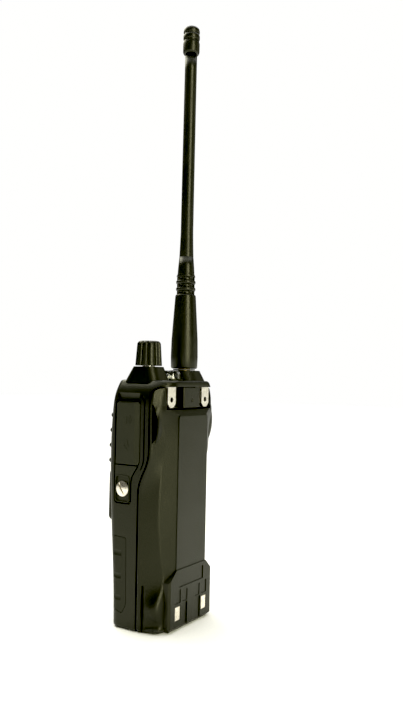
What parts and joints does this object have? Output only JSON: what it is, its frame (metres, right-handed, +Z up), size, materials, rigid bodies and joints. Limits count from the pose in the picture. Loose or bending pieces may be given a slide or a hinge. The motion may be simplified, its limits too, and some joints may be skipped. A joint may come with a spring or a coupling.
{
  "type": "portable two-way radio",
  "caption": "Pocket two-way radio with whip antenna, volume knob, torch, keypad, talk rocker, covered headset jacks and a sliding battery pack.",
  "frame": {"origin": "centre of the face the radio stands on, in the middle of its width and at the joint between housing and battery", "axes": "+Z up along the antenna; -Y is the keypad face, +Y the battery; +X is the side with the headset jacks"},
  "size_m": [0.052, 0.0346, 0.3032],
  "materials": {
    "housing_plastic": "fine moulded texture, satin",
    "cast_aluminium": "die cast",
    "silicone": "grey silicone",
    "steel": "stamped steel",
    "paper_cone": "cone",
    "window_plastic": "polished smoked window",
    "display_glass": "grey display",
    "board": "green board",
    "clear_plastic": "clear polished",
    "led_clear": "lamp epoxy",
    "brass": "machined",
    "grip_rubber": "soft matte rubber",
    "cover_rubber": "soft matte rubber",
    "knob_plastic": "satin",
    "nickel": "nickel plated, slightly worn",
    "battery_plastic": "fine moulded texture, satin",
    "cell_wrap": "shrink wrap",
    "antenna_rubber": "smooth overmoulded rubber",
    "key_plastic": "satin keys"
  },
  "bodies": {
    "radio": {"front_housing": "housing_plastic", "rear_chassis": "cast_aluminium", "housing_seal": "silicone", "chassis_screws": "steel", "clip_tabs": "steel", "speaker_grille": "housing_plastic", "speaker_driver": "steel", "speaker_cone": "paper_cone", "lcd_window": "window_plastic", "lcd_module": "display_glass", "circuit_board": "board", "keypad_mat": "silicone", "torch_lens": "clear_plastic", "torch_led": "led_clear", "status_led": "led_clear", "microphone": "steel", "antenna_connector": "brass", "volume_control": "steel", "talk_frame": "housing_plastic", "talk_pin": "steel", "side_switches": "steel", "side_grips": "grip_rubber", "accessory_cover_anchor": "cover_rubber", "speaker_jack": "knob_plastic", "mic_jack": "knob_plastic", "contact_springs": "brass"},
    "knob": {"volume_knob": "knob_plastic", "knob_shaft": "steel"},
    "talk_button": {"talk_rocker": "grip_rubber"},
    "upper_key": {"upper_side_key": "grip_rubber"},
    "lower_key": {"lower_side_key": "grip_rubber"},
    "cover_flap": {"accessory_cover_flap": "cover_rubber"},
    "coin_screw": {"cover_screw": "nickel"},
    "battery": {"battery_shell": "battery_plastic", "battery_inner_cover": "battery_plastic", "battery_cells": "cell_wrap", "charging_contacts": "nickel", "battery_terminals": "brass"},
    "release_button": {"battery_release": "battery_plastic"},
    "antenna_ring": {"antenna_gasket": "silicone"},
    "antenna": {"antenna_sleeve": "antenna_rubber", "antenna_collar": "brass", "antenna_whip": "antenna_rubber", "antenna_cap": "antenna_rubber"},
    "keypad_row1_column1": {"key_row1_column1": "key_plastic"},
    "keypad_row1_column2": {"key_row1_column2": "key_plastic"},
    "keypad_row1_column3": {"key_row1_column3": "key_plastic"},
    "keypad_row1_column4": {"key_row1_column4": "key_plastic"},
    "keypad_row2_column1": {"key_row2_column1": "key_plastic"},
    "keypad_row2_column2": {"key_row2_column2": "key_plastic"},
    "keypad_row2_column3": {"key_row2_column3": "key_plastic"},
    "keypad_row2_column4": {"key_row2_column4": "key_plastic"},
    "keypad_row3_column1": {"key_row3_column1": "key_plastic"},
    "keypad_row3_column2": {"key_row3_column2": "key_plastic"},
    "keypad_row3_column3": {"key_row3_column3": "key_plastic"},
    "keypad_row3_column4": {"key_row3_column4": "key_plastic"},
    "keypad_row4_column1": {"key_row4_column1": "key_plastic"},
    "keypad_row4_column2": {"key_row4_column2": "key_plastic"},
    "keypad_row4_column3": {"key_row4_column3": "key_plastic"},
    "keypad_row4_column4": {"key_row4_column4": "key_plastic"}
  },
  "joints": [
    {"name": "volume_turn", "type": "hinge", "parent": "radio", "child": "knob", "pos_m": [0.0143, -0.0024, 0.1245], "axis": [0, 0, -1], "range_deg": [0, 300]},
    {"name": "talk_press", "type": "hinge", "parent": "radio", "child": "talk_button", "pos_m": [-0.0216, -0.0059, 0.0825], "axis": [0, 1, 0], "range_deg": [-2.2, 2.2], "stiffness_Nm_per_rad": 0.9},
    {"name": "upper_key_press", "type": "slide", "parent": "radio", "child": "upper_key", "axis": [1, 0, 0], "range_m": [0, 0.0005], "stiffness_N_per_m": 2500},
    {"name": "lower_key_press", "type": "slide", "parent": "radio", "child": "lower_key", "axis": [1, 0, 0], "range_m": [0, 0.0005], "stiffness_N_per_m": 2500},
    {"name": "cover_open", "type": "hinge", "parent": "radio", "child": "cover_flap", "pos_m": [0.0254, -0.006, 0.0777], "axis": [0, 1, 0], "range_deg": [0, 110]},
    {"name": "cover_screw_turn", "type": "hinge", "parent": "radio", "child": "coin_screw", "pos_m": [0.0248, -0.0083, 0.0662], "axis": [1, 0, 0], "continuous": true},
    {"name": "battery_slide", "type": "slide", "parent": "radio", "child": "battery", "axis": [0, 0, -1], "range_m": [0, 0.11]},
    {"name": "release_press", "type": "slide", "parent": "radio", "child": "release_button", "axis": [0, -1, 0], "range_m": [0, 0.0012], "stiffness_N_per_m": 2500},
    {"name": "antenna_lift", "type": "slide", "parent": "radio", "child": "antenna_ring", "axis": [0, 0, 1], "range_m": [0, 0.004]},
    {"name": "antenna_turn", "type": "hinge", "parent": "antenna_ring", "child": "antenna", "pos_m": [-0.0131, -0.0003, 0.1242], "axis": [0, 0, 1], "range_deg": [0, 2160]},
    {"name": "keypad_row1_column1_press", "type": "slide", "parent": "radio", "child": "keypad_row1_column1", "axis": [0, 1, 0], "range_m": [0, 0.0005], "stiffness_N_per_m": 2500},
    {"name": "keypad_row1_column2_press", "type": "slide", "parent": "radio", "child": "keypad_row1_column2", "axis": [0, 1, 0], "range_m": [0, 0.0005], "stiffness_N_per_m": 2500},
    {"name": "keypad_row1_column3_press", "type": "slide", "parent": "radio", "child": "keypad_row1_column3", "axis": [0, 1, 0], "range_m": [0, 0.0005], "stiffness_N_per_m": 2500},
    {"name": "keypad_row1_column4_press", "type": "slide", "parent": "radio", "child": "keypad_row1_column4", "axis": [0, 1, 0], "range_m": [0, 0.0005], "stiffness_N_per_m": 2500},
    {"name": "keypad_row2_column1_press", "type": "slide", "parent": "radio", "child": "keypad_row2_column1", "axis": [0, 1, 0], "range_m": [0, 0.0005], "stiffness_N_per_m": 2500},
    {"name": "keypad_row2_column2_press", "type": "slide", "parent": "radio", "child": "keypad_row2_column2", "axis": [0, 1, 0], "range_m": [0, 0.0005], "stiffness_N_per_m": 2500},
    {"name": "keypad_row2_column3_press", "type": "slide", "parent": "radio", "child": "keypad_row2_column3", "axis": [0, 1, 0], "range_m": [0, 0.0005], "stiffness_N_per_m": 2500},
    {"name": "keypad_row2_column4_press", "type": "slide", "parent": "radio", "child": "keypad_row2_column4", "axis": [0, 1, 0], "range_m": [0, 0.0005], "stiffness_N_per_m": 2500},
    {"name": "keypad_row3_column1_press", "type": "slide", "parent": "radio", "child": "keypad_row3_column1", "axis": [0, 1, 0], "range_m": [0, 0.0005], "stiffness_N_per_m": 2500},
    {"name": "keypad_row3_column2_press", "type": "slide", "parent": "radio", "child": "keypad_row3_column2", "axis": [0, 1, 0], "range_m": [0, 0.0005], "stiffness_N_per_m": 2500},
    {"name": "keypad_row3_column3_press", "type": "slide", "parent": "radio", "child": "keypad_row3_column3", "axis": [0, 1, 0], "range_m": [0, 0.0005], "stiffness_N_per_m": 2500},
    {"name": "keypad_row3_column4_press", "type": "slide", "parent": "radio", "child": "keypad_row3_column4", "axis": [0, 1, 0], "range_m": [0, 0.0005], "stiffness_N_per_m": 2500},
    {"name": "keypad_row4_column1_press", "type": "slide", "parent": "radio", "child": "keypad_row4_column1", "axis": [0, 1, 0], "range_m": [0, 0.0005], "stiffness_N_per_m": 2500},
    {"name": "keypad_row4_column2_press", "type": "slide", "parent": "radio", "child": "keypad_row4_column2", "axis": [0, 1, 0], "range_m": [0, 0.0005], "stiffness_N_per_m": 2500},
    {"name": "keypad_row4_column3_press", "type": "slide", "parent": "radio", "child": "keypad_row4_column3", "axis": [0, 1, 0], "range_m": [0, 0.0005], "stiffness_N_per_m": 2500},
    {"name": "keypad_row4_column4_press", "type": "slide", "parent": "radio", "child": "keypad_row4_column4", "axis": [0, 1, 0], "range_m": [0, 0.0005], "stiffness_N_per_m": 2500}
  ],
  "couplings": [
    {"joint": "antenna_turn", "follows": "antenna_lift", "rad_per_m": 8976}
  ]
}
